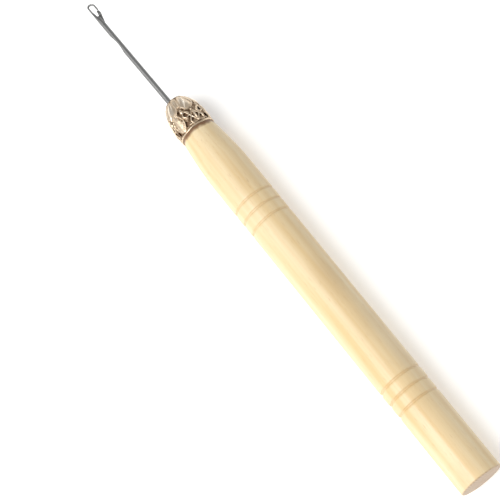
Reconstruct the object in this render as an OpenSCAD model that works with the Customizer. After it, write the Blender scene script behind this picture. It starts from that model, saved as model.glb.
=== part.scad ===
// Crochet hook with a latch: turned wooden handle, openwork metal cap and a steel latch needle.
// It lies on the floor with +X from the butt to the hook's tip and +Z up. The hook opens towards -Y.
// The origin is on the floor, under the middle of the whole length.

/* [Handle] */
// Length of the wood that shows, from the butt to the cap's rim
handle_len = 115.9; // [100:0.1:130]
// Diameter of the barrel behind the rear grooves
butt_d = 11.76; // [10:0.02:14]
// Diameter of the long barrel between the two groups of grooves
grip_d = 11.9; // [10:0.02:14]
// Diameter of the barrel in front of the front grooves
front_d = 12; // [10:0.02:14]
// Radius of the rounded edge at the butt
butt_edge = 0.5; // [0.2:0.1:1.5]
// Length of the neck that narrows to the cap
neck_len = 13.9; // [10:0.1:18]
// Diameter of the neck where it meets the cap's rim
neck_d = 9.7; // [9:0.1:11]

/* [Ring grooves] */
// Distance from the butt to the middle groove of the rear group
rear_group_at = 27.6; // [20:0.1:40]
// Distance from the butt to the middle groove of the front group
front_group_at = 87.5; // [75:0.1:92]
// Distance from one groove to the next in a group
groove_pitch = 3.6; // [2.5:0.1:5]
// Depth of each groove
groove_depth = 0.34; // [0.2:0.02:0.6]

/* [Cap] */
// Length of the cap along the handle
cap_len = 11.1; // [9:0.1:13]
// Length of the cap's straight side, from its rim
cap_side = 4.3; // [3:0.1:6]
// Diameter over the cap's straight side
cap_d = 9.7; // [9:0.1:11]
// Diameter of the cap's mouth, where the needle comes out
cap_mouth_d = 5; // [4:0.1:6]
// Thickness of the cap's sheet
cap_wall = 0.45; // [0.3:0.05:0.8]
// Number of round holes in the ring of openwork
cap_holes = 8; // [5:1:10]
// Diameter of each round hole
cap_hole_d = 1.2; // [0.6:0.1:1.6]

/* [Needle] */
// Diameter of the steel wire
wire_d = 1.44; // [1.3:0.02:1.6]
// Length of the needle in front of the cap's mouth
needle_out = 38; // [34:0.5:45]
// Length of the tang inside the handle
tang_len = 38; // [25:1:60]
// Sideways offset of the needle at the cap's mouth
needle_offset = 0.92; // [0:0.02:1.1]
// Sideways lean of the needle, in degrees
needle_lean = 0.95; // [0:0.05:1]
// Length of the hollow ground in the needle's back
waist_len = 6.4; // [4:0.1:8]
// Depth of that hollow
waist_depth = 0.33; // [0.1:0.01:0.4]

/* [Hook] */
// Width over the hook's loop
hook_w = 2.22; // [2.1:0.02:2.4]
// Thickness of the hook's wire, seen from the side
hook_wire = 0.47; // [0.42:0.01:0.5]
// Width of the hook's wire across the latch's plane
hook_flat = 0.7; // [0.6:0.02:0.8]
// Distance from the hook's tip back to the end of its beard
beard_len = 2.84; // [2.8:0.01:2.9]

/* [Latch] */
// Distance from the hook's tip back to the rivet
pivot_from_tip = 7.7; // [7.65:0.05:7.75]
// Length of the latch from the rivet to the end of its spoon
latch_len = 4.86; // [4.8:0.01:4.87]
// Thickness of the latch's blade
blade_t = 0.28; // [0.2:0.01:0.3]
// Width of the slot that the latch turns in
slot_w = 0.36; // [0.34:0.01:0.4]
// Diameter of the rivet
rivet_d = 0.36; // [0.3:0.01:0.4]
// Radial gap between the rivet and the latch's hole
rivet_gap = 0.02; // [0.01:0.005:0.04]
// Angle between the closed latch and the needle
closed_angle = 13; // [12.9:0.05:13.1]
// Angle that the drawn latch is opened by
latch_open = 0; // [0:1:146]

/* [Hidden] */
$fn = 64;

// Places along the object, from the butt
rim_x = handle_len;
mouth_x = rim_x + cap_len;
tip_x = mouth_x + needle_out;
half_len = tip_x / 2;
axis_z = front_d / 2;

// Places on the needle's own line: x runs from the cap's mouth, and y from the wire's middle
wire_r = wire_d / 2;
pivot_x = needle_out - pivot_from_tip;
pivot_y = -0.08;
back_y = wire_r - 0.06;
leg_y = back_y - hook_wire;
front_y = back_y - hook_w;
beard_end_x = needle_out - beard_len;

// The head runs on past the rivet, and the hollow in the back is centred behind it
head_len = 5;
waist_back = 6.8;

// The spoon's length along the latch, its width, and the places of its face and of its back
spoon_len = 1.75;
spoon_w = 0.94;
spoon_face = 0.28;
spoon_back = -0.6;
spoon_x = latch_len - spoon_len / 2;

// The hook's bend is a tight quarter turn behind its tip and a wide one in front of it
tight_r = 0.88;
wide_r = hook_w - tight_r;
tight_x = needle_out - tight_r;
wide_x = needle_out - wide_r;

// A groove is a narrow round cut with a wide, flat curve that eases its edges
groove_r = 0.42;
ease_r = 2.2;
ease_depth = 0.12;

// The neck's outline narrows faster and faster towards the cap
NECK_STEPS = 14;
function neck_r(t) = front_d / 2 - (front_d - neck_d) / 2 * pow(t, 1.55);

// The ring of holes stands at this share of the cap's straight side
hole_level = 0.55;

// The cap's dome, and the wood's nose under it, close in the same way from side to mouth
DOME_STEPS = 12;
nose_short = 0.8;
function dome_r(t, side_r, mouth_r) = mouth_r + (side_r - mouth_r) * (1 - pow(t, 1.6));

// Turns an outline of [distance from the butt, radius] points into a solid along +X
module turned(points) {
    translate([-half_len, 0, axis_z])
        rotate([90, 0, 90])
            rotate_extrude($fn = 96)
                polygon([for (p = points) [p[1], p[0]]]);
}

// Puts its children on the needle's own line, with x counted from the cap's mouth
module on_needle() {
    translate([mouth_x - half_len, needle_offset, axis_z])
        rotate([0, 0, needle_lean])
            children();
}

// Puts its children on the rivet's centre
module on_rivet() {
    on_needle()
        translate([pivot_x, pivot_y, 0])
            children();
}

// Flat bar with round long edges: its section is hook_wire by hook_flat
module bar_section() {
    edge = (hook_flat - hook_wire) / 2;
    union() {
        square([hook_wire, 2 * edge], center = true);
        translate([0, edge]) circle(d = hook_wire, $fn = 32);
        translate([0, -edge]) circle(d = hook_wire, $fn = 32);
    }
}

// One ring groove in a barrel of the given radius
module groove(at, barrel_r) {
    translate([at - half_len, 0, axis_z])
        rotate([90, 0, 90])
            rotate_extrude($fn = 96)
                union() {
                    translate([barrel_r + groove_r - groove_depth, 0]) circle(r = groove_r, $fn = 32);
                    intersection() {
                        translate([barrel_r + ease_r - ease_depth, 0]) circle(r = ease_r, $fn = 64);
                        translate([barrel_r - 1, -1]) square([3, 2]);
                    }
                }
}

module handle() {
    nose_r = cap_d / 2 - cap_wall;
    nose_end_r = cap_mouth_d / 2 - cap_wall;
    neck_x = rim_x - neck_len;
    dome_x = rim_x + cap_side;
    dome_len = cap_len - cap_side - nose_short;
    barrel = concat(
        [[0, 0]],
        [for (a = [0:15:90]) [butt_edge * (1 - cos(a)), butt_d / 2 - butt_edge * (1 - sin(a))]],
        [
            [rear_group_at, butt_d / 2],
            [rear_group_at, grip_d / 2],
            [front_group_at, grip_d / 2],
            [front_group_at, front_d / 2]
        ]
    );
    neck = [for (i = [0:NECK_STEPS]) [neck_x + neck_len * i / NECK_STEPS, neck_r(i / NECK_STEPS)]];
    nose = concat(
        [[rim_x, nose_r]],
        [for (i = [0:DOME_STEPS])
            [dome_x + dome_len * i / DOME_STEPS, dome_r(i / DOME_STEPS, nose_r, nose_end_r)]],
        [[dome_x + dome_len, 0]]
    );
    color("wheat")
        difference() {
            turned(concat(barrel, neck, nose));
            for (k = [-1, 0, 1]) {
                groove(rear_group_at + k * groove_pitch, (k > 0 ? grip_d : butt_d) / 2);
                groove(front_group_at + k * groove_pitch, (k > 0 ? front_d : grip_d) / 2);
            }
            on_needle()
                translate([-tang_len, 0, 0])
                    rotate([0, 90, 0])
                        cylinder(h = tang_len + 1, d = wire_d);
        }
}

module ferrule() {
    side_r = cap_d / 2;
    mouth_r = cap_mouth_d / 2;
    dome_x = rim_x + cap_side;
    dome_len = cap_len - cap_side;
    outside = [for (i = [0:DOME_STEPS])
        [dome_x + dome_len * i / DOME_STEPS, dome_r(i / DOME_STEPS, side_r, mouth_r)]];
    inside = [for (i = [DOME_STEPS:-1:0])
        [dome_x + dome_len * i / DOME_STEPS,
         dome_r(i / DOME_STEPS, side_r - cap_wall, mouth_r - cap_wall)]];
    color("rosybrown")
        difference() {
            turned(concat([[rim_x, side_r]], outside, inside, [[rim_x, side_r - cap_wall]]));
            for (k = [0:cap_holes - 1])
                translate([rim_x + cap_side * hole_level - half_len, 0, axis_z])
                    rotate([360 * k / cap_holes, 0, 0])
                        cylinder(h = cap_d, d = cap_hole_d, $fn = 24);
        }
}

module needle() {
    color("slategray")
        on_needle() {
            difference() {
                union() {
                    stem();
                    hook();
                }
                translate([pivot_x, pivot_y, 0]) {
                    latch_slot();
                    cylinder(h = 2 * wire_d, d = rivet_d, center = true, $fn = 32);
                }
            }
        }
}

// Round wire with a hollow ground in its back, and a head that narrows towards the hook
module stem() {
    waist_x = pivot_x - waist_back;
    waist_r = (pow(waist_len / 2, 2) + pow(waist_depth, 2)) / (2 * waist_depth);
    difference() {
        translate([-tang_len, 0, 0])
            rotate([0, 90, 0])
                cylinder(h = tang_len + pivot_x + head_len, d = wire_d);
        translate([waist_x, wire_r - waist_depth + waist_r, 0])
            cylinder(h = 2 * wire_d, r = waist_r, center = true, $fn = 128);
        translate([pivot_x, 0, 0]) {
            throat();
            head_sides();
        }
    }
}

// What is cut from the head in front of the leg: a slope under the latch and the eye's round end
module throat() {
    eye_end_x = 3.4;
    eye_end_y = -0.42;
    eye_end_r = 0.36;
    slope_from = 0.4;
    slope_drop = 0.2;
    leg_from = head_len + 0.1;
    cut_to = head_len + 1;
    translate([0, 0, -wire_d])
        linear_extrude(height = 2 * wire_d)
            union() {
                translate([eye_end_x, eye_end_y]) circle(r = eye_end_r, $fn = 48);
                polygon([
                    [slope_from, -wire_r - 0.01],
                    [eye_end_x - eye_end_r, eye_end_y - slope_drop],
                    [eye_end_x, eye_end_y + eye_end_r],
                    [leg_from, leg_y],
                    [cut_to, leg_y],
                    [cut_to, -wire_d],
                    [slope_from, -wire_d]
                ]);
            }
}

// What is cut from the head's two sides and its back, down to the leg's own section
module head_sides() {
    taper_from = 1.4;
    back_from = 2;
    taper_to = head_len - 0.4;
    cut_to = head_len + 1;
    leg_z = hook_flat / 2;
    for (side = [-1, 1])
        rotate([90, 0, 0])
            translate([0, 0, -wire_d])
                linear_extrude(height = 2 * wire_d)
                    polygon([
                        [taper_from, side * (wire_r + 0.01)],
                        [taper_to, side * leg_z],
                        [cut_to, side * leg_z],
                        [cut_to, side * wire_d],
                        [taper_from, side * wire_d]
                    ]);
    translate([0, 0, -wire_d])
        linear_extrude(height = 2 * wire_d)
            polygon([
                [back_from, wire_r + 0.01],
                [taper_to, back_y],
                [cut_to, back_y],
                [cut_to, wire_d],
                [back_from, wire_d]
            ]);
}

// Leg, bend and beard: one flat bar with round edges
module hook() {
    leg_root = 3;
    leg_from = pivot_x + leg_root;
    tip_r = hook_wire / 2;
    translate([leg_from, back_y - tip_r, 0])
        bar(tight_x - leg_from);
    translate([tight_x, back_y - tight_r, 0])
        quarter_bend(0, tight_r - tip_r);
    translate([wide_x, front_y + wide_r, 0])
        quarter_bend(-90, wide_r - tip_r);
    translate([beard_end_x + tip_r, front_y + tip_r, 0]) {
        bar(wide_x - beard_end_x - tip_r);
        intersection() {
            translate([0, 0, -hook_flat / 2]) cylinder(h = hook_flat, r = tip_r, $fn = 32);
            translate([hook_flat / 2 - tip_r, 0, 0]) sphere(r = hook_flat / 2, $fn = 48);
        }
    }
}

module bar(len) {
    rotate([90, 0, 90])
        linear_extrude(height = len)
            bar_section();
}

module quarter_bend(turn, mid_r) {
    rotate([0, 0, turn])
        rotate_extrude(angle = 90, $fn = 64)
            translate([mid_r, 0])
                bar_section();
}

// Slot for the latch, open at the front, with room for the blade at both ends of its swing
module latch_slot() {
    eye_room_r = 0.5;
    floor_y = 0.4;
    floor_half = 0.5;
    back_x = -4.5;
    back_floor_y = -wire_r + 0.02;
    front_x = 3.6;
    front_floor_y = -0.24;
    translate([0, 0, -slot_w / 2])
        linear_extrude(height = slot_w)
            union() {
                circle(r = eye_room_r, $fn = 48);
                polygon([
                    [back_x, back_floor_y],
                    [-floor_half, floor_y],
                    [floor_half, floor_y],
                    [front_x, front_floor_y],
                    [front_x, -wire_d],
                    [back_x, -wire_d]
                ]);
            }
}

// Blade with a round eye at the rivet and a spoon that meets the beard's end
module latch() {
    eye_r = 0.45;
    eye_top = 0.34;
    blade_end_x = latch_len - spoon_len + 0.3;
    blade_end_top = 0.24;
    blade_end_bottom = spoon_back + 0.06;
    color("gray")
        on_rivet()
            rotate([0, 0, -closed_angle - latch_open])
                difference() {
                    union() {
                        translate([0, 0, -blade_t / 2])
                            linear_extrude(height = blade_t)
                                union() {
                                    circle(r = eye_r, $fn = 48);
                                    polygon([
                                        [0, -eye_r],
                                        [blade_end_x, blade_end_bottom],
                                        [blade_end_x, blade_end_top],
                                        [0, eye_top]
                                    ]);
                                }
                        spoon_body();
                    }
                    spoon_hollow();
                    cylinder(h = 1, r = rivet_d / 2 + rivet_gap, center = true, $fn = 32);
                }
}

// The spoon's long round outline, with a domed back
module spoon_body() {
    back_r = 1.6;
    back_shift = 0.2;
    end_shift = (spoon_len - spoon_w) / 2;
    intersection() {
        rotate([90, 0, 0])
            translate([0, 0, -spoon_face])
                linear_extrude(height = spoon_face - spoon_back)
                    union() {
                        translate([spoon_x, 0])
                            square([spoon_len - spoon_w, spoon_w], center = true);
                        for (side = [-1, 1])
                            translate([spoon_x + side * end_shift, 0]) circle(d = spoon_w, $fn = 48);
                    }
        translate([spoon_x - back_shift, spoon_back + back_r, 0])
            sphere(r = back_r, $fn = 96);
    }
}

// The hollow in the spoon's face
module spoon_hollow() {
    hollow_r = 0.36;
    rim_w = 0.12;
    hollow_step = 0.38;
    for (k = [0, 1])
        translate([latch_len - rim_w - hollow_r - k * hollow_step, spoon_face, 0])
            sphere(r = hollow_r, $fn = 48);
}

module latch_rivet() {
    sunk = 0.02;
    color("dimgray")
        on_rivet()
            cylinder(h = wire_d - 2 * sunk, d = rivet_d, center = true, $fn = 32);
}

handle();
ferrule();
needle();
latch();
latch_rivet();
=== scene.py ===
"""Latch crochet hook: turned beech handle, pressed filigree cap and a steel latch needle.

The frame lies along X, from the butt to the hook's tip, with +Z up and the hook open towards -Y.
"""
import math

import bpy
from mathutils import Matrix, Vector


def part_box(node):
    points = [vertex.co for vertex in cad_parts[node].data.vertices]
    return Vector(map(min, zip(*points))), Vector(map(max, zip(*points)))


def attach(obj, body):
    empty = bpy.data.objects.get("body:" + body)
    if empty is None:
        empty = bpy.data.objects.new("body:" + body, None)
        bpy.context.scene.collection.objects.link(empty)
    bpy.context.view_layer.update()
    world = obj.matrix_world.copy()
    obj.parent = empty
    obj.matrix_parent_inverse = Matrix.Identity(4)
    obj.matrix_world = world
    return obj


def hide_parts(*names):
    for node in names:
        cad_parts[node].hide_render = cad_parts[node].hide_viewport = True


bl_info = {
    "name": "Latch crochet hook",
    "version": (1, 0, 0),
    "blender": (4, 5, 0),
    "location": "3D View > Sidebar > Crochet hook",
    "description": "Models a latch crochet hook around its fixed frame",
    "category": "Object",
}

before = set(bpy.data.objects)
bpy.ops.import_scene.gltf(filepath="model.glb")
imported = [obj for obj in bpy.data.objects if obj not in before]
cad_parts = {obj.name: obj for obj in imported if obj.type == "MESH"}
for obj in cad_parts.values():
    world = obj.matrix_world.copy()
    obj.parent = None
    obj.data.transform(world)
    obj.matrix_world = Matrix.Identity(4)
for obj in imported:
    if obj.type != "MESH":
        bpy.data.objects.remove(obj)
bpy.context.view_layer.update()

MM = 0.001
BUTT_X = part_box("handle")[0][0]
AXIS_Z = (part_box("handle")[0][2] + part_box("handle")[1][2]) / 2
RIM_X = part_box("ferrule")[0][0]
MOUTH_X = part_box("ferrule")[1][0]
CAP_LEN = MOUTH_X - RIM_X

# Flats to a turn on the lathe, and how fast the neck and the cap's dome close in
TURN_STEPS = 96
NECK_CURVE = 1.55
DOME_CURVE = 1.6

# Places of a Mix node's colour sockets, whose names its other sockets share
MIX_SHARE = 0
MIX_BASE = 6
MIX_STAIN = 7
MIX_RESULT = 2


# ---------------------------------------------------------------- sizes and colours

def length(name, description, millimetres):
    """A size property that shows in the scene's length unit."""
    return bpy.props.FloatProperty(
        name=name, description=description, default=millimetres * MM, min=0.0, precision=5,
        unit="LENGTH", subtype="DISTANCE",
    )


def linear(value):
    """An sRGB hex value as a linear colour with full alpha."""
    parts = [int(value[i:i + 2], 16) / 255 for i in (1, 3, 5)]
    return [p / 12.92 if p <= 0.04045 else ((p + 0.055) / 1.055) ** 2.4 for p in parts] + [1.0]


def colour(name, description, value):
    """A colour property, with its default written as an sRGB hex value."""
    return bpy.props.FloatVectorProperty(
        name=name, description=description, default=linear(value), size=4, min=0.0, max=1.0,
        subtype="COLOR",
    )


def strength(name, description, value):
    """A light's strength or power."""
    return bpy.props.FloatProperty(name=name, description=description, default=value, min=0.0)


class HandleSettings(bpy.types.PropertyGroup):
    butt_r: length("Butt radius", "Radius of the barrel behind the rear grooves", 5.88)
    grip_r: length("Grip radius", "Radius of the long barrel between the groups of grooves", 5.95)
    front_r: length("Front radius", "Radius of the barrel in front of the front grooves", 5.985)
    butt_edge: length("Butt edge", "Radius of the rounded edge at the butt", 0.5)
    neck_len: length("Neck length", "Length that narrows to the cap", 13.9)
    neck_end_r: length("Neck radius", "Radius of the neck at the cap's rim", 4.85)
    rear_group: length("Rear grooves", "Butt to the middle groove of the rear group", 27.6)
    front_group: length("Front grooves", "Butt to the middle groove of the front group", 87.5)
    groove_pitch: length("Groove pitch", "One groove to the next in a group", 3.6)
    groove_depth: length("Groove depth", "Depth of each ring groove", 0.34)
    ease_depth: length("Groove easing", "Depth of the soft dip around each groove", 0.12)
    bore_r: length("Bore radius", "Radius of the bore that takes the needle's tang", 0.74)
    bore_depth: length("Bore depth", "Cap's mouth to the bottom of the bore", 38.0)
    bore_side: length("Bore offset", "Sideways place of the bore at the cap's mouth", 0.92)
    bore_lean: bpy.props.FloatProperty(
        name="Bore lean", description="Sideways lean of the bore and the needle in it",
        default=math.radians(0.95), subtype="ANGLE",
    )
    pale: colour("Pale wood", "Colour of the wood between its growth bands", "#F1DDB6")
    warm: colour("Warm wood", "Colour of the growth bands", "#E3C48D")
    fleck: colour("Flecks", "Colour of the short ray flecks", "#C39A62")
    end_grain: colour("End grain", "Colour of the sawn end of the wood", "#C4A888")
    # The stain colour also tints the end-grain rings; under the cap and just past its rim it is partly
    # glue and partly painted shade
    stain: colour("Stain", "Colour of the glued wood under the cap", "#6E4220")


class CapSettings(bpy.types.PropertyGroup):
    side_r: length("Side radius", "Radius of the cap's straight side", 4.85)
    mouth_r: length("Mouth radius", "Radius of the cap at its mouth", 2.5)
    side_len: length("Side length", "Length of the straight side", 4.3)
    wall: length("Wall", "Thickness of the pressed sheet", 0.45)
    hole_r: length("Hole radius", "Radius of the round openings", 0.64)
    grain: length("Pressing grain", "Smallest detail that the pressing holds", 0.085)
    metal: colour("Metal", "Antique rose gold plating", "#E4CFB4")
    # Worn metal on the ridges is partly plating rubbed bright and partly a painted highlight
    bright: colour("Worn metal", "Plating rubbed bright on the high places", "#FFF4E4")
    patina: colour("Patina", "Dark patina left in the low places", "#7A6148")


class NeedleSettings(bpy.types.PropertyGroup):
    steel: colour("Needle steel", "Colour of the drawn wire", "#A5A5A4")
    steel_dark: colour("Drawn lines", "Colour of the fine lines along the wire", "#848484")
    latch: colour("Latch steel", "Colour of the stamped latch and its rivet", "#8E8E8D")
    latch_dark: colour("Latch shade", "Colour of the oil film on the latch", "#6C6C6C")


class StageSettings(bpy.types.PropertyGroup):
    distance: length("Camera distance", "Camera to the point it looks at", 443.2)
    tilt: bpy.props.FloatProperty(
        name="Camera tilt", description="Lean of the view from straight down, towards the butt",
        default=math.radians(19.24), subtype="ANGLE",
    )
    roll: bpy.props.FloatProperty(
        name="Camera roll", description="Turn of the picture round the view",
        default=math.radians(38.75), subtype="ANGLE",
    )
    aim_x: length("Aim along", "Place that the camera looks at, along the handle", 0.593)
    aim_y: length("Aim across", "Place that the camera looks at, across the handle", 8.647)
    lens: bpy.props.FloatProperty(name="Lens", description="Focal length in millimetres", default=126.0)
    floor: colour("Floor", "Colour of the plain floor", "#FBFBFA")
    floor_shade: colour("Floor shade", "Colour of the faint clouds in the floor", "#E6E6E4")
    glow: strength("Floor glow", "Light from behind the floor", 0.32)
    room: strength("Room light", "Strength of the white room", 0.42)
    key: strength("Key light", "Power of the large lamp in watts", 11.0)
    fill: strength("Fill light", "Power of the small lamp in watts", 0.2)


# ---------------------------------------------------------------- tools

def deselect():
    """Leaves edit mode and lets go of every object."""
    if bpy.context.object and bpy.context.object.mode != "OBJECT":
        bpy.ops.object.mode_set(mode="OBJECT")
    bpy.ops.object.select_all(action="DESELECT")


def pick(objects):
    """Selects only these objects, and makes the first one active."""
    deselect()
    for obj in objects:
        obj.select_set(True)
    bpy.context.view_layer.objects.active = objects[0]


def named(name):
    """The active object, with its name and its mesh's name."""
    obj = bpy.context.object
    obj.name = name
    obj.data.name = name
    return obj


def joined(objects, name):
    """All the objects as one mesh."""
    pick(objects)
    bpy.ops.object.join()
    return named(name)


def apply_place(obj):
    """Puts the object's place, turn and scale into its mesh."""
    pick([obj])
    bpy.ops.object.transform_apply(location=True, rotation=True, scale=True)


def add_modifier(obj, kind, **settings):
    """Adds a modifier with its settings and applies it. A piece must be left."""
    pick([obj])
    modifier = obj.modifiers.new(kind.lower(), kind)
    for key, value in settings.items():
        setattr(modifier, key, value)
    bpy.ops.object.modifier_apply(modifier=modifier.name)
    if not obj.data.polygons:
        raise RuntimeError(f"{kind} left nothing of {obj.name}")


def tidy_normals(obj):
    """Merges doubles and turns every face outwards."""
    nearest = 0.002 * MM
    pick([obj])
    bpy.ops.object.mode_set(mode="EDIT")
    bpy.ops.mesh.select_all(action="SELECT")
    bpy.ops.mesh.remove_doubles(threshold=nearest)
    bpy.ops.mesh.normals_make_consistent(inside=False)
    bpy.ops.object.mode_set(mode="OBJECT")


def turned(name, outline, ring=False):
    """Turns an outline of (x, radius) points round the tool's axis, as on a lathe.

    A disc is extruded from ring to ring. With ring=True the outline closes on itself instead.
    """
    deselect()
    x, radius = outline[0]
    bpy.ops.mesh.primitive_circle_add(
        vertices=TURN_STEPS, radius=radius, fill_type="NOTHING" if ring else "NGON",
        location=(x, 0, AXIS_Z), rotation=(0, math.radians(90), 0),
    )
    obj = named(name)
    apply_place(obj)
    bpy.ops.object.mode_set(mode="EDIT")
    bpy.ops.mesh.select_all(action="SELECT")
    for next_x, next_radius in outline[1:]:
        bpy.ops.mesh.extrude_region_move(TRANSFORM_OT_translate={"value": (next_x - x, 0, 0)})
        grow = next_radius / radius
        bpy.ops.transform.resize(value=(1, grow, grow), center_override=(next_x, 0, AXIS_Z))
        x, radius = next_x, next_radius
    bpy.ops.object.mode_set(mode="OBJECT")
    tidy_normals(obj)
    return obj


def smooth(obj, degrees):
    """Shades the object smooth, with edges sharper than this angle kept."""
    pick([obj])
    bpy.ops.object.shade_smooth_by_angle(angle=math.radians(degrees))


# ---------------------------------------------------------------- materials

def add_node(tree, kind, settings=None, inputs=None, output=0):
    """Adds a node and gives back one output. An input's value is a socket to link, or a plain value."""
    node = tree.nodes.new(kind)
    for key, value in (settings or {}).items():
        setattr(node, key, value)
    for key, value in (inputs or {}).items():
        if isinstance(value, bpy.types.NodeSocket):
            tree.links.new(value, node.inputs[key])
        else:
            node.inputs[key].default_value = value
    return node.outputs[output]


def new_material(name, settings):
    """A material with one Principled shader, its tree and the place in millimetres."""
    material = bpy.data.materials.new(name)
    material.use_nodes = True
    tree = material.node_tree
    shader = tree.nodes["Principled BSDF"]
    for key, value in settings.items():
        shader.inputs[key].default_value = value
    metres = add_node(tree, "ShaderNodeTexCoord", output="Object")
    to_mm = (1 / MM, 1 / MM, 1 / MM)
    place = add_node(tree, "ShaderNodeMapping", None, {"Vector": metres, "Scale": to_mm})
    return material, tree, shader, place


def streaks(tree, place, along, across, detail=3.0, roughness=0.5):
    """A grain drawn out along the tool: its marks are along by across, in millimetres."""
    scale = (1 / along, 1 / across, 1 / across)
    drawn = add_node(tree, "ShaderNodeMapping", None, {"Vector": place, "Scale": scale})
    return add_node(
        tree, "ShaderNodeTexNoise", None,
        {"Vector": drawn, "Scale": 1.0, "Detail": detail, "Roughness": roughness},
    )


def stained(tree, base, stain, value, low, high, most=1.0):
    """Lays a stain over a colour: none where the value is low, and the most where it is high."""
    share = add_node(
        tree, "ShaderNodeMapRange", None,
        {"Value": value, "From Min": low, "From Max": high, "To Min": 0.0, "To Max": most},
    )
    return add_node(
        tree, "ShaderNodeMix", {"data_type": "RGBA"},
        {MIX_SHARE: share, MIX_BASE: base, MIX_STAIN: stain}, MIX_RESULT,
    )


def surfaced(tree, shader, base, value, low, high, rough_low, rough_high, height, depth):
    """Joins a colour to the shader, with its roughness spread from a value and its skin in millimetres."""
    rough = add_node(
        tree, "ShaderNodeMapRange", None,
        {"Value": value, "From Min": low, "From Max": high, "To Min": rough_low, "To Max": rough_high},
    )
    skin = add_node(
        tree, "ShaderNodeBump", None, {"Height": height, "Strength": 1.0, "Distance": depth * MM},
    )
    for socket, name in ((base, "Base Color"), (rough, "Roughness"), (skin, "Normal")):
        tree.links.new(socket, shader.inputs[name])


def clear_coated_beech(settings):
    """Beech turned from dowel, sanded and clear-coated: pale, with a soft sheen along the grain."""
    material, tree, shader, place = new_material(
        "clear_coated_beech",
        {"IOR": 1.5, "Coat Weight": 0.22, "Coat Roughness": 0.28, "Coat IOR": 1.5},
    )
    # Growth bands are 2 to 3 mm wide, fibres a fifth of a millimetre, and ray flecks 2 mm long
    bands = streaks(tree, place, along=70, across=2.6, detail=2.0)
    fibres = streaks(tree, place, along=16, across=0.2, detail=4.0, roughness=0.6)
    flecks = streaks(tree, place, along=2.2, across=0.17, detail=2.0, roughness=0.4)
    clouds = streaks(tree, place, along=22, across=9, detail=1.0)
    wood = stained(tree, settings.pale, settings.warm, bands, 0.35, 0.7)
    wood = stained(tree, wood, settings.warm, fibres, 0.45, 0.75, 0.35)
    wood = stained(tree, wood, settings.fleck, clouds, 0.5, 0.75, 0.22)
    wood = stained(tree, wood, settings.fleck, flecks, 0.64, 0.74, 0.42)
    # The cut of a ring groove is painted darker, partly burnished by the tool and partly painted shade in
    # the groove
    cut = add_node(tree, "ShaderNodeAttribute", {"attribute_name": "groove_cut"}, output="Fac")
    wood = stained(tree, wood, settings.fleck, cut, 0.0, 1.0, 0.3)
    # The sawn butt shows growth rings round a pith that lies outside the dowel, at y = -9 and z = 14
    pith = add_node(tree, "ShaderNodeMapping", None, {"Vector": place, "Location": (0, 9, -14)})
    # At this scale the rings are 0.9 mm apart
    ring_scale = 0.35
    rings = add_node(
        tree, "ShaderNodeTexWave", {"wave_type": "RINGS", "rings_direction": "X"},
        {"Vector": pith, "Scale": ring_scale, "Distortion": 1.6, "Detail": 2.0, "Detail Scale": 1.5},
        "Fac",
    )
    sawn = stained(tree, settings.end_grain, settings.stain, rings, 0.35, 0.9, 0.3)
    along = add_node(tree, "ShaderNodeSeparateXYZ", None, {"Vector": place}, "X")
    butt = BUTT_X / MM
    wood = stained(tree, wood, sawn, along, butt + 0.4, butt + 0.02)
    # Under the cap the wood is painted dark, partly glue and partly painted shade inside the cap that
    # shows through the openings; past the rim a band fades out, partly glue crept out and partly painted
    # shadow under the rim's ribbon
    rim = RIM_X / MM
    ragged_edge = streaks(tree, place, along=1.5, across=1.5, detail=1.0)
    glue_and_shade_reach = add_node(tree, "ShaderNodeMath", {"operation": "ADD"}, {0: along, 1: ragged_edge})
    wood = stained(tree, wood, settings.stain, glue_and_shade_reach, rim - 0.8, rim, 0.9)
    grain = add_node(tree, "ShaderNodeMath", {"operation": "SUBTRACT"}, {0: fibres, 1: flecks})
    surfaced(tree, shader, wood, fibres, 0.3, 0.7, 0.42, 0.56, grain, 0.012)
    return material


def antique_rose_gold(settings):
    """Pressed brass plated in rose gold, blackened and rubbed: dark patina in the hollows, and ridges
    painted bright, partly rubbed plating and partly a painted highlight.
    """
    material, tree, shader, place = new_material("antique_rose_gold_plating", {"Metallic": 1.0})
    # Relief is the height over the sheet: 0 is deep in an opening, and 1 the top of a rib
    relief = add_node(tree, "ShaderNodeAttribute", {"attribute_name": "relief"}, output="Fac")
    mottle = streaks(tree, place, along=0.9, across=0.9, detail=4.0, roughness=0.6)
    wear = add_node(
        tree, "ShaderNodeMapRange", None,
        {"Value": mottle, "From Min": 0.3, "From Max": 0.7, "To Min": -0.12, "To Max": 0.12},
    )
    uneven = add_node(tree, "ShaderNodeMath", {"operation": "ADD"}, {0: relief, 1: wear})
    metal = stained(tree, settings.patina, settings.metal, uneven, 0.22, 0.44)
    # The ridge tops are painted near-white, partly plating rubbed bright and partly a painted highlight
    metal = stained(tree, metal, settings.bright, uneven, 0.6, 0.9)
    # The pressed skin is pitted at a tenth of a millimetre, drawn at 0.2 mm so that it shows
    pits = streaks(tree, place, along=0.2, across=0.2, detail=2.0)
    surfaced(tree, shader, metal, uneven, 0.3, 0.9, 0.5, 0.24, pits, 0.02)
    return material


def drawn_steel(name, light, dark, along, across, rough):
    """Steel with fine lines along it: grey satin, with a long soft highlight."""
    material, tree, shader, place = new_material(name, {"Metallic": 1.0})
    # Die lines are some 0.03 mm apart, drawn wider so that they show
    lines = streaks(tree, place, along, across, detail=3.0, roughness=0.6)
    cloud = streaks(tree, place, along=3.0, across=0.8, detail=2.0)
    steel = stained(tree, light, dark, lines, 0.35, 0.7)
    steel = stained(tree, steel, dark, cloud, 0.5, 0.8, 0.45)
    surfaced(tree, shader, steel, lines, 0.3, 0.7, rough - 0.07, rough + 0.09, lines, 0.006)
    return material


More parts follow.
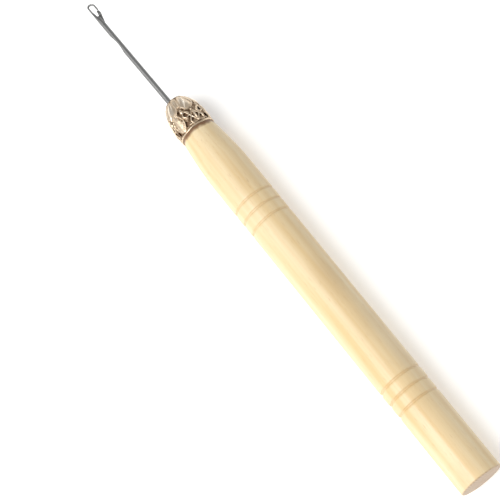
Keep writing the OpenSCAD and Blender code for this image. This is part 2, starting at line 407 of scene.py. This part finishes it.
def matt_paper(settings):
    """Plain pale paper, lit from behind as well: almost white, with a breath of grey in it."""
    material, tree, shader, place = new_material(
        "backlit_matt_paper", {"Emission Color": (1, 1, 1, 1), "Emission Strength": settings.glow},
    )
    tone = streaks(tree, place, along=40, across=40, detail=2.0)
    paper = stained(tree, settings.floor, settings.floor_shade, tone, 0.3, 0.7, 0.04)
    surfaced(tree, shader, paper, tone, 0.3, 0.7, 0.88, 0.92, tone, 0.01)
    return material


def finish_piece(obj, material, body):
    """Gives a piece its only material and the body that it rides on."""
    obj.data.materials.clear()
    obj.data.materials.append(material)
    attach(obj, body)


# ---------------------------------------------------------------- handle

def groove_dip(x, settings):
    """Depth of the ring grooves at x, and how far into the cut it is from 0 to 1."""
    cut_r = 0.42 * MM
    ease_r = 2.2 * MM
    depth = 0.0
    cut = 0.0
    for group in (settings.rear_group, settings.front_group):
        for k in (-1, 0, 1):
            off = abs(x - BUTT_X - group - k * settings.groove_pitch)
            if off < ease_r:
                soft = settings.ease_depth - ease_r + math.sqrt(ease_r ** 2 - off ** 2)
                depth = max(depth, soft)
            if off < cut_r:
                sharp = settings.groove_depth - cut_r + math.sqrt(cut_r ** 2 - off ** 2)
                depth = max(depth, sharp)
                cut = max(cut, sharp / settings.groove_depth)
    return depth, cut


def barrel_radius(x, settings):
    """Radius of the handle at x, before its grooves are cut."""
    at = x - BUTT_X
    neck_from = RIM_X - settings.neck_len
    if at < settings.butt_edge:
        rise = settings.butt_edge - at
        return settings.butt_r - settings.butt_edge + math.sqrt(settings.butt_edge ** 2 - rise ** 2)
    if x > neck_from:
        along = (x - neck_from) / settings.neck_len
        return settings.front_r - (settings.front_r - settings.neck_end_r) * along ** NECK_CURVE
    if at < settings.rear_group:
        return settings.butt_r
    return settings.grip_r if at < settings.front_group else settings.front_r


def make_handle(settings, cap):
    """The turned handle, from the butt to the dark nose under the cap."""
    edge_angles = range(0, 91, 15)
    group_steps = 92
    neck_steps = 20
    nose_steps = 18
    group_edge = 1.0 * MM
    nose_gap = 0.12 * MM
    nose_short = 1.0 * MM
    nose_hole_r = 0.9 * MM
    places = [BUTT_X + settings.butt_edge * (1 - math.cos(math.radians(a))) for a in edge_angles]
    half = settings.groove_pitch + group_edge
    for group in (settings.rear_group, settings.front_group):
        start = BUTT_X + group - half
        places += [start + 2 * half * i / group_steps for i in range(group_steps + 1)]
    places += [RIM_X - settings.neck_len * (1 - i / neck_steps) for i in range(neck_steps + 1)]
    outline = []
    for x in sorted(places):
        radius = barrel_radius(x, settings) - groove_dip(x, settings)[0]
        if not outline or x - outline[-1][0] > 0.001 * MM:
            outline.append((x, radius))
    # The nose steps in under the cap and follows its dome
    nose_len = CAP_LEN - nose_short
    for i in range(nose_steps + 1):
        along = nose_len * i / nose_steps
        outline.append((RIM_X + along, cap_radius(along, cap) - cap.wall - nose_gap))
    outline.append((RIM_X + nose_len, nose_hole_r))
    obj = turned("turned_handle", outline)
    # The drill goes in through the nose, on the needle's own line
    deselect()
    bpy.ops.mesh.primitive_cylinder_add(
        vertices=48, radius=settings.bore_r, depth=2 * settings.bore_depth,
        location=(MOUTH_X, settings.bore_side, AXIS_Z),
        rotation=(0, math.radians(90), settings.bore_lean),
    )
    drill = named("drill")
    apply_place(drill)
    add_modifier(obj, "BOOLEAN", operation="DIFFERENCE", object=drill, solver="EXACT")
    pick([drill])
    bpy.ops.object.delete()
    tidy_normals(obj)
    attribute = obj.data.attributes.new("groove_cut", "FLOAT", "POINT")
    for vertex in obj.data.vertices:
        attribute.data[vertex.index].value = groove_dip(vertex.co.x, settings)[1]
    smooth(obj, 35)
    return obj


# ---------------------------------------------------------------- cap

def cap_radius(along, settings):
    """Outer radius of the plain sheet, this far from the rim."""
    dome_len = CAP_LEN - settings.side_len
    share = min(max((along - settings.side_len) / dome_len, 0.0), 1.0)
    return settings.mouth_r + (settings.side_r - settings.mouth_r) * (1 - share ** DOME_CURVE)


def on_cap(along, angle, height, settings):
    """The place this high over the sheet. The angle is from the top of the tool, towards -Y."""
    step = 0.05 * MM
    slope = (cap_radius(along + step, settings) - cap_radius(along - step, settings)) / (2 * step)
    lean = math.sqrt(1 + slope * slope)
    radius = cap_radius(along, settings) + height / lean
    x = RIM_X + along - slope * height / lean
    return Vector((x, -math.sin(angle) * radius, AXIS_Z + math.cos(angle) * radius))


def rolled(obj, turn, settings):
    """Rolls a flat ornament round the cap: x is the way from the rim, y the arc and z the height."""
    for vertex in obj.data.vertices:
        x, y, z = vertex.co
        vertex.co = on_cap(x, turn + y / settings.side_r, z, settings)


def petal(along, across, size, turn=0.0, point=0.5, name="petal"):
    """A flat petal. Size is (length, width, height), and point narrows its far end."""
    deselect()
    bpy.ops.mesh.primitive_uv_sphere_add(segments=24, ring_count=16, radius=0.5)
    obj = named(name)
    bpy.ops.object.mode_set(mode="EDIT")
    bpy.ops.mesh.select_all(action="DESELECT")
    bpy.ops.object.mode_set(mode="OBJECT")
    for vertex in obj.data.vertices:
        vertex.select = vertex.co.x > 0
    bpy.ops.object.mode_set(mode="EDIT")
    bpy.ops.transform.resize(
        value=(1, point, 1), center_override=(0, 0, 0), use_proportional_edit=True,
        proportional_edit_falloff="SMOOTH", proportional_size=0.3,
    )
    bpy.ops.object.mode_set(mode="OBJECT")
    obj.scale = [part * MM for part in size]
    obj.rotation_euler = (0, 0, turn)
    obj.location = (along * MM, across * MM, 0)
    apply_place(obj)
    return obj


def rib(points, thick, ends=0.6, height=0.05, closed=False):
    """A raised rib along flat (along, across) points in millimetres. Its ends thin and sink in."""
    deselect()
    curve = bpy.data.curves.new("rib", "CURVE")
    curve.dimensions = "3D"
    curve.bevel_depth = thick / 2 * MM
    curve.bevel_resolution = 2
    curve.resolution_u = 8
    curve.use_fill_caps = not closed
    spline = curve.splines.new("NURBS")
    spline.points.add(len(points) - 1)
    spline.order_u = 3
    spline.use_endpoint_u = not closed
    spline.use_cyclic_u = closed
    last = len(points) - 1
    for i, (along, across) in enumerate(points):
        full = 1.0 if closed else min(1.0, 2 - 2 * abs(2 * i / last - 1))
        lift = height - (1 - full) * (1 - ends) * thick
        spline.points[i].co = (along * MM, across * MM, lift * MM, 1)
        spline.points[i].radius = ends + (1 - ends) * full
    obj = bpy.data.objects.new("rib", curve)
    bpy.context.scene.collection.objects.link(obj)
    pick([obj])
    bpy.ops.object.convert(target="MESH")
    return bpy.context.object


def arc(degrees, settings):
    """Millimetres round the cap's side for an angle."""
    return math.radians(degrees) * settings.side_r / MM


def leaf_ornament():
    """The broad veined leaf, half over half: outline rib, midrib and side veins."""
    pieces = [petal(3.7, 0, (6.2, 3.3, 0.5), point=0.55, name="leaf")]
    pieces.append(rib([(0.7, 0), (3.5, 0), (6.9, 0)], 0.34, height=0.24))
    for side in (-1, 1):
        pieces.append(rib(
            [(0.75, side * 0.2), (1.6, side * 1.35), (3.4, side * 1.8), (5.4, side * 1.1), (7.0, 0)],
            0.3, height=0.12,
        ))
        for start, end in ((0.9, 3.2), (1.9, 4.6), (3.2, 5.6)):
            reach = 1.45 - 0.2 * abs(end - 3.6)
            pieces.append(rib(
                [(start, side * 0.1), ((start + end) / 2 - 0.2, side * 0.75 * reach), (end, side * reach)],
                0.2, height=0.22,
            ))
    return pieces


def lattice_ornament(settings):
    """The openwork between two leaves: ring bosses, crossing struts and a bar, mirrored about it."""
    middle = arc(60, settings)
    boss_off = arc(24.5, settings)
    boss_r = 0.86
    pieces = [petal(2.9, middle, (2.9, 0.66, 0.9), point=0.8, name="bar")]
    for along in (1.15, 4.75):
        pieces.append(petal(along, middle, (0.62, 0.62, 0.8), point=1.0, name="bead"))
    for side in (-1, 1):
        hole = middle + side * boss_off
        pieces.append(rib(
            [(4.1 + boss_r * math.cos(a), hole + boss_r * math.sin(a))
             for a in [math.radians(45 * k) for k in range(8)]],
            0.36, height=0.14, closed=True,
        ))
        pieces.append(rib(
            [(0.7, hole - side * 0.5), (1.6, hole), (2.9, hole - side * 0.9), (4.7, middle)],
            0.42, height=0.18,
        ))
        pieces.append(rib(
            [(5.2, hole), (3.3, hole - side * 0.9), (2.0, middle + side * 0.7), (1.2, middle)],
            0.38, height=0.22,
        ))
        pieces.append(rib(
            [(1.1, middle), (0.75, middle + side * 1.4), (1.25, middle + side * 2.9)],
            0.32, height=0.14,
        ))
    return pieces


def crown_ornament(settings):
    """The upper tier: pointed petals that lean over each other up to the mouth."""
    pieces = []
    for k in range(2):
        centre = arc(60 * k, settings)
        between = centre + arc(30, settings)
        pieces.append(petal(8.1, centre, (5.4, 4.4, 0.8), turn=0.12, point=0.72, name="crown_petal"))
        pieces.append(petal(9.1, between, (4.0, 3.2, 0.5), point=0.8, name="under_petal"))
        pieces.append(petal(5.6, between, (1.6, 1.2, 0.8), point=0.6, name="bud"))
        pieces.append(rib(
            [(5.6, centre - 1.3), (7.2, centre - 0.4), (9.0, centre + 0.3), (10.6, centre + 0.5)],
            0.36, height=0.42,
        ))
        pieces.append(rib([(7.4, between), (9.0, between), (10.6, between)], 0.36, height=0.26))
        for side in (-1, 1):
            pieces.append(rib(
                [(5.4, centre + side * 0.4), (6.1, centre + side * 1.8), (8.0, centre + side * 2.15),
                 (10.5, centre + side * 1.5)],
                0.36, height=0.22,
            ))
            pieces.append(rib(
                [(6.6, centre + side * 1.1 - 0.4), (8.2, centre + side * 1.1),
                 (10.3, centre + side * 0.9 + 0.3)],
                0.3, height=0.36,
            ))
    return pieces


def rim_ornament(settings):
    """The ribbon round the rim, with two soft waves to each third of the cap."""
    steps = 48
    waves = 6
    return rib(
        [(0.3 + 0.1 * math.cos(math.radians(waves * 360 * k / steps)), arc(360 * k / steps, settings))
         for k in range(steps + 1)],
        0.5, ends=1.0, height=0.02,
    )


def cutter(along, angle, radius, sides, stretch, settings):
    """A drill or a punch standing through the cap's wall, wider along the tool by stretch."""
    reach = 2.6 * MM
    deselect()
    place = on_cap(along * MM, math.radians(angle), 0.0, settings)
    lift = on_cap(along * MM, math.radians(angle), MM, settings) - place
    bpy.ops.mesh.primitive_cylinder_add(vertices=sides, radius=1.0, depth=1.0)
    obj = named("cutter")
    obj.scale = (radius * MM * stretch, radius * MM, reach)
    across = lift.cross(Vector((1, 0, 0))).normalized()
    forward = across.cross(lift).normalized()
    turn = Matrix((forward, across, lift.normalized())).transposed()
    obj.rotation_euler = turn.to_euler()
    obj.location = place
    apply_place(obj)
    return obj


def make_cap(settings):
    """The pressed cap: a turned shell, punched open, with its ornament rolled on and fused."""
    wall_steps = 40
    outside = [CAP_LEN * i / wall_steps for i in range(wall_steps + 1)]
    outline = [(RIM_X + along, cap_radius(along, settings)) for along in outside]
    outline += [(RIM_X + along, cap_radius(along, settings) - settings.wall) for along in outside[::-1]]
    shell = turned("filigree_cap", outline + outline[:1], ring=True)

    # Openings in each third, from the leaf's centre: (along, angle, radius, sides, stretch)
    openings = [
        (4.1, 35.5, settings.hole_r / MM, 24, 1.0),
        (2.65, 46.5, 0.66, 16, 1.25),
        (1.85, 21.5, 0.6, 12, 1.3),
        (1.1, 36.5, 0.36, 12, 1.0),
        (6.1, 19.0, 0.34, 12, 1.4),
        (6.3, 41.0, 0.3, 12, 1.3),
    ]
    leaf_centre = -33.0
    cutters = [
        cutter(along, leaf_centre + 120 * third + side * angle, radius, sides, stretch, settings)
        for third in range(3) for side in (-1, 1)
        for along, angle, radius, sides, stretch in openings
    ]
    punch = joined(cutters, "punch")
    add_modifier(shell, "BOOLEAN", operation="DIFFERENCE", object=punch, solver="EXACT")
    pick([punch])
    bpy.ops.object.delete()

    ornament = joined(leaf_ornament() + lattice_ornament(settings) + crown_ornament(settings), "ornament")
    thirds = [ornament]
    for third in (1, 2):
        pick([ornament])
        bpy.ops.object.duplicate()
        thirds.append(bpy.context.object)
    for third, obj in enumerate(thirds):
        rolled(obj, math.radians(leaf_centre + 120 * third), settings)
    rim = rim_ornament(settings)
    rolled(rim, 0.0, settings)
    deselect()
    roll_r = 0.26 * MM
    bpy.ops.mesh.primitive_torus_add(
        major_segments=64, minor_segments=12, major_radius=settings.mouth_r - roll_r / 2,
        minor_radius=roll_r, location=(MOUTH_X - 0.3 * MM, 0, AXIS_Z), rotation=(0, math.radians(90), 0),
    )
    mouth = named("mouth")
    apply_place(mouth)
    cap = joined([shell] + thirds + [rim, mouth], "filigree_cap")

    # The press fuses it all to one sheet with soft edges
    add_modifier(cap, "REMESH", mode="VOXEL", voxel_size=settings.grain)
    add_modifier(cap, "SMOOTH", factor=0.5, iterations=3)
    triangles = 2 * len(cap.data.polygons)
    most = 150000
    if triangles > most:
        add_modifier(cap, "DECIMATE", ratio=most / triangles)
    attribute = cap.data.attributes.new("relief", "FLOAT", "POINT")
    deepest = -0.2 * MM
    highest = 0.6 * MM
    for vertex in cap.data.vertices:
        away = math.hypot(vertex.co.y, vertex.co.z - AXIS_Z)
        over = away - cap_radius(vertex.co.x - RIM_X, settings)
        attribute.data[vertex.index].value = min(max((over - deepest) / (highest - deepest), 0.0), 1.0)
    smooth(cap, 60)
    return cap


# ---------------------------------------------------------------- operators

class HOOK_OT_handle(bpy.types.Operator):
    """Turn the beech handle with its ring grooves"""

    bl_idname = "hook.handle"
    bl_label = "Handle"

    def execute(self, context):
        settings = context.scene.hook_handle
        obj = make_handle(settings, context.scene.hook_cap)
        finish_piece(obj, clear_coated_beech(settings), "tool")
        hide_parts("handle")
        return {"FINISHED"}


class HOOK_OT_cap(bpy.types.Operator):
    """Press the openwork cap over the handle's nose"""

    bl_idname = "hook.cap"
    bl_label = "Filigree cap"

    def execute(self, context):
        settings = context.scene.hook_cap
        obj = make_cap(settings)
        finish_piece(obj, antique_rose_gold(settings), "tool")
        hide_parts("ferrule")
        return {"FINISHED"}


class HOOK_OT_needle(bpy.types.Operator):
    """Finish the needle, its latch and the rivet in steel"""

    bl_idname = "hook.needle"
    bl_label = "Needle and latch"

    def execute(self, context):
        settings = context.scene.hook_needle
        wire = drawn_steel(
            "drawn_needle_steel", settings.steel, settings.steel_dark, along=9.0, across=0.13, rough=0.4,
        )
        stamped = drawn_steel(
            "stamped_latch_steel", settings.latch, settings.latch_dark, along=1.2, across=0.2, rough=0.44,
        )
        for node, material in (("needle", wire), ("latch", stamped), ("latch_rivet", stamped)):
            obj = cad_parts[node]
            obj.data.materials.clear()
            obj.data.materials.append(material)
        return {"FINISHED"}


class HOOK_OT_stage(bpy.types.Operator):
    """Set the pale floor, the soft lights and the camera"""

    bl_idname = "hook.stage"
    bl_label = "Stage"

    def execute(self, context):
        settings = context.scene.hook_stage
        scene = context.scene
        deselect()
        floor_size = 6.0
        bpy.ops.mesh.primitive_plane_add(size=floor_size)
        floor = named("floor")
        floor.data.materials.append(matt_paper(settings))

        scene.view_settings.view_transform = "Standard"
        world = bpy.data.worlds.new("soft_room")
        world.use_nodes = True
        world.node_tree.nodes["Background"].inputs["Color"].default_value = (1, 1, 1, 1)
        world.node_tree.nodes["Background"].inputs["Strength"].default_value = settings.room
        scene.world = world
        lamps = (
            ("key", (-0.08, 0.62, 0.85), 1.0, settings.key),
            ("fill", (0.35, -0.8, 0.7), 0.9, settings.fill),
        )
        for name, spot, size, power in lamps:
            bpy.ops.object.light_add(type="AREA", location=spot)
            lamp = named(name)
            lamp.data.shape = "DISK"
            lamp.data.size = size
            lamp.data.energy = power
            lamp.rotation_euler = (-Vector(spot)).to_track_quat("-Z", "Y").to_euler()

        tilt = settings.tilt
        roll = settings.roll
        level = Vector((math.cos(tilt), 0, math.sin(tilt)))
        back = Vector((-math.sin(tilt), 0, math.cos(tilt)))
        side = Vector((0, 1, 0))
        up = math.cos(roll) * level - math.sin(roll) * side
        right = -math.sin(roll) * level - math.cos(roll) * side
        bpy.ops.object.camera_add(location=(0, 0, 0))
        camera = named("camera")
        camera.rotation_euler = Matrix((right, up, back)).transposed().to_euler()
        aim = Vector((-settings.aim_x, settings.aim_y, AXIS_Z))
        camera.location = aim + settings.distance * back
        camera.data.lens = settings.lens
        camera.data.sensor_width = 36.0
        camera.data.dof.use_dof = False
        camera.data.clip_start = 0.01
        scene.camera = camera
        return {"FINISHED"}


class HOOK_PT_panel(bpy.types.Panel):
    """Lists the pieces and their settings"""

    bl_idname = "HOOK_PT_panel"
    bl_label = "Crochet hook"
    bl_space_type = "VIEW_3D"
    bl_region_type = "UI"
    bl_category = "Crochet hook"

    def draw(self, context):
        for name, operator in PIECES:
            box = self.layout.box()
            group = getattr(context.scene, name)
            for key in group.__annotations__:
                box.prop(group, key)
            box.operator(operator)


PIECES = (
    ("hook_stage", "hook.stage"),
    ("hook_handle", "hook.handle"),
    ("hook_cap", "hook.cap"),
    ("hook_needle", "hook.needle"),
)
GROUPS = {
    "hook_stage": StageSettings,
    "hook_handle": HandleSettings,
    "hook_cap": CapSettings,
    "hook_needle": NeedleSettings,
}
CLASSES = (
    StageSettings, HandleSettings, CapSettings, NeedleSettings,
    HOOK_OT_stage, HOOK_OT_handle, HOOK_OT_cap, HOOK_OT_needle, HOOK_PT_panel,
)


def register():
    for cls in CLASSES:
        bpy.utils.register_class(cls)
    for name, group in GROUPS.items():
        setattr(bpy.types.Scene, name, bpy.props.PointerProperty(type=group))


def unregister():
    for name in GROUPS:
        delattr(bpy.types.Scene, name)
    for cls in reversed(CLASSES):
        bpy.utils.unregister_class(cls)


def main():
    register()
    bpy.ops.hook.stage()
    bpy.ops.hook.handle()
    bpy.ops.hook.cap()
    bpy.ops.hook.needle()
    deselect()


if __name__ == "__main__":
    main()
